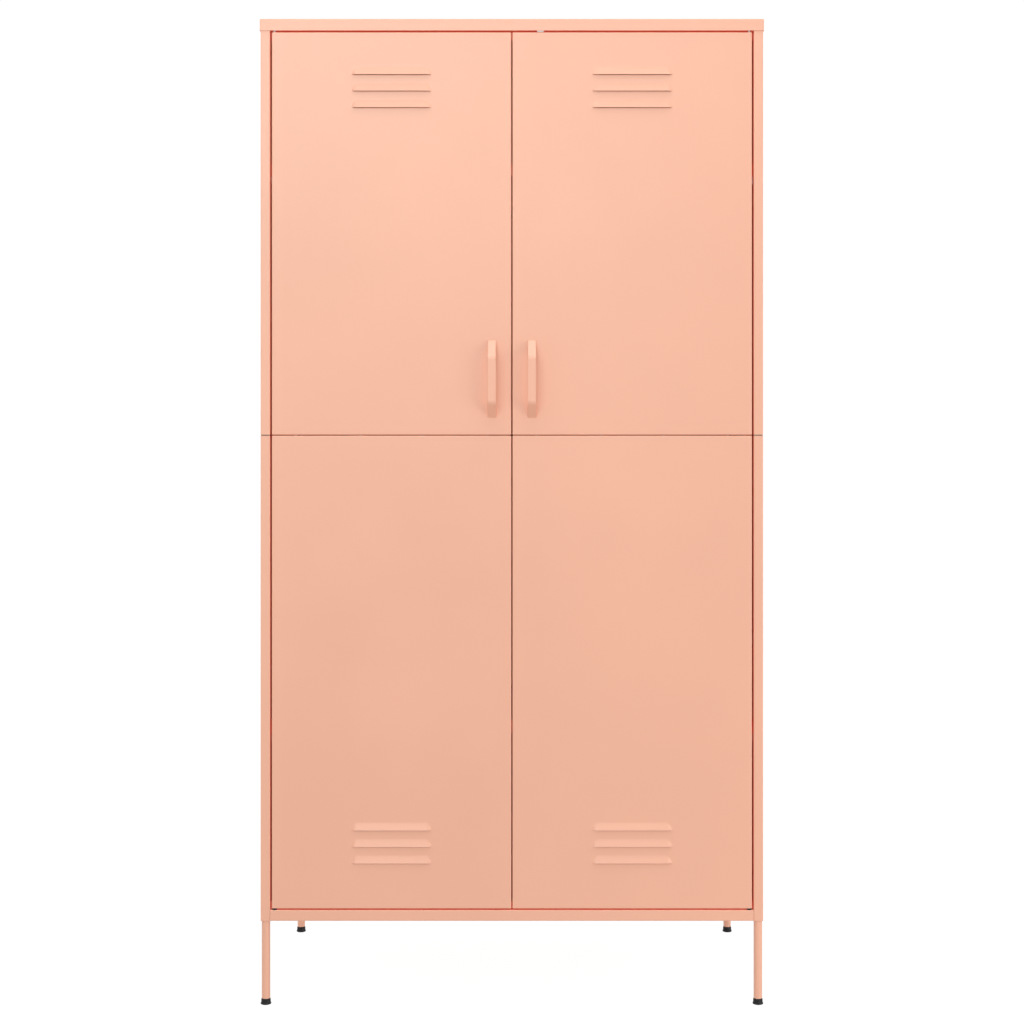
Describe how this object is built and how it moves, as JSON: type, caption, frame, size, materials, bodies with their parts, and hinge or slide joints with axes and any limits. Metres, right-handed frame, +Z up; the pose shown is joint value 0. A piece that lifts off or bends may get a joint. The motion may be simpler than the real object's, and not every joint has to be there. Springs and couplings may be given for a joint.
{
  "type": "locker cabinet",
  "caption": "Tall sheet-steel locker cabinet on thin round legs, with louvred hinged doors, bow handles, shelves and a hanging rail inside.",
  "frame": {"origin": "on the floor, in the middle of the width and of the whole depth, handles included", "axes": "+X to the right seen from the doors, +Y to the back, +Z up"},
  "size_m": [0.9, 0.5, 1.76],
  "materials": {
    "powder_coat": "satin powder coat, fine orange peel",
    "zinc_steel": "bright zinc plated",
    "dark_steel": "dark phosphated steel",
    "rail_steel": "bright plated tube",
    "white_nylon": "moulded, satin",
    "black_plastic": "moulded, satin",
    "black_rubber": "matt",
    "magnet": "dark, ground"
  },
  "bodies": {
    "cabinet": {"top_cap": "powder_coat", "cap_nuts": "zinc_steel", "top_rail": "powder_coat", "top_rail_screws": "zinc_steel", "floor_pan": "powder_coat", "floor_pan_screws": "zinc_steel", "upper_left_side": "powder_coat", "upper_right_side": "powder_coat", "lower_left_side": "powder_coat", "lower_right_side": "powder_coat", "side_joint_bolts": "zinc_steel", "side_joint_nuts": "zinc_steel", "post_splices": "dark_steel", "upper_back_panel": "powder_coat", "lower_back_panel": "powder_coat", "back_panel_screws": "zinc_steel", "rear_joint_rail": "powder_coat", "rear_joint_screws": "zinc_steel", "hat_shelf": "powder_coat", "lower_shelf": "powder_coat", "shelf_clips": "zinc_steel", "hanging_rail": "rail_steel", "left_rail_bracket": "zinc_steel", "right_rail_bracket": "zinc_steel", "rail_bracket_screws": "zinc_steel", "upper_pivot_bushes": "white_nylon", "lower_pivot_bushes": "black_plastic", "magnetic_catches": "white_nylon", "catch_magnets": "magnet", "catch_screws": "zinc_steel", "door_bumpers": "black_rubber", "corner_plates": "zinc_steel", "front_left_leg": "powder_coat", "front_right_leg": "powder_coat", "rear_left_leg": "powder_coat", "rear_right_leg": "powder_coat", "front_left_foot": "black_plastic", "front_right_foot": "black_plastic", "rear_left_foot": "black_plastic", "rear_right_foot": "black_plastic"},
    "left_door": {"left_upper_door_panel": "powder_coat", "left_lower_door_panel": "powder_coat", "left_handle": "powder_coat", "left_handle_screws": "zinc_steel", "left_pivot_plates": "zinc_steel", "left_pivot_pins": "zinc_steel", "left_door_bolts": "zinc_steel", "left_door_nuts": "zinc_steel"},
    "right_door": {"right_upper_door_panel": "powder_coat", "right_lower_door_panel": "powder_coat", "right_handle": "powder_coat", "right_handle_screws": "zinc_steel", "right_pivot_plates": "zinc_steel", "right_pivot_pins": "zinc_steel", "right_door_bolts": "zinc_steel", "right_door_nuts": "zinc_steel"}
  },
  "joints": [
    {"name": "left_door_hinge", "type": "hinge", "parent": "cabinet", "child": "left_door", "pos_m": [-0.4241, -0.2191, 0.95325], "axis": [0, 0, -1], "range_deg": [0, 110]},
    {"name": "right_door_hinge", "type": "hinge", "parent": "cabinet", "child": "right_door", "pos_m": [0.4241, -0.2191, 0.95325], "axis": [0, 0, 1], "range_deg": [0, 110]}
  ]
}
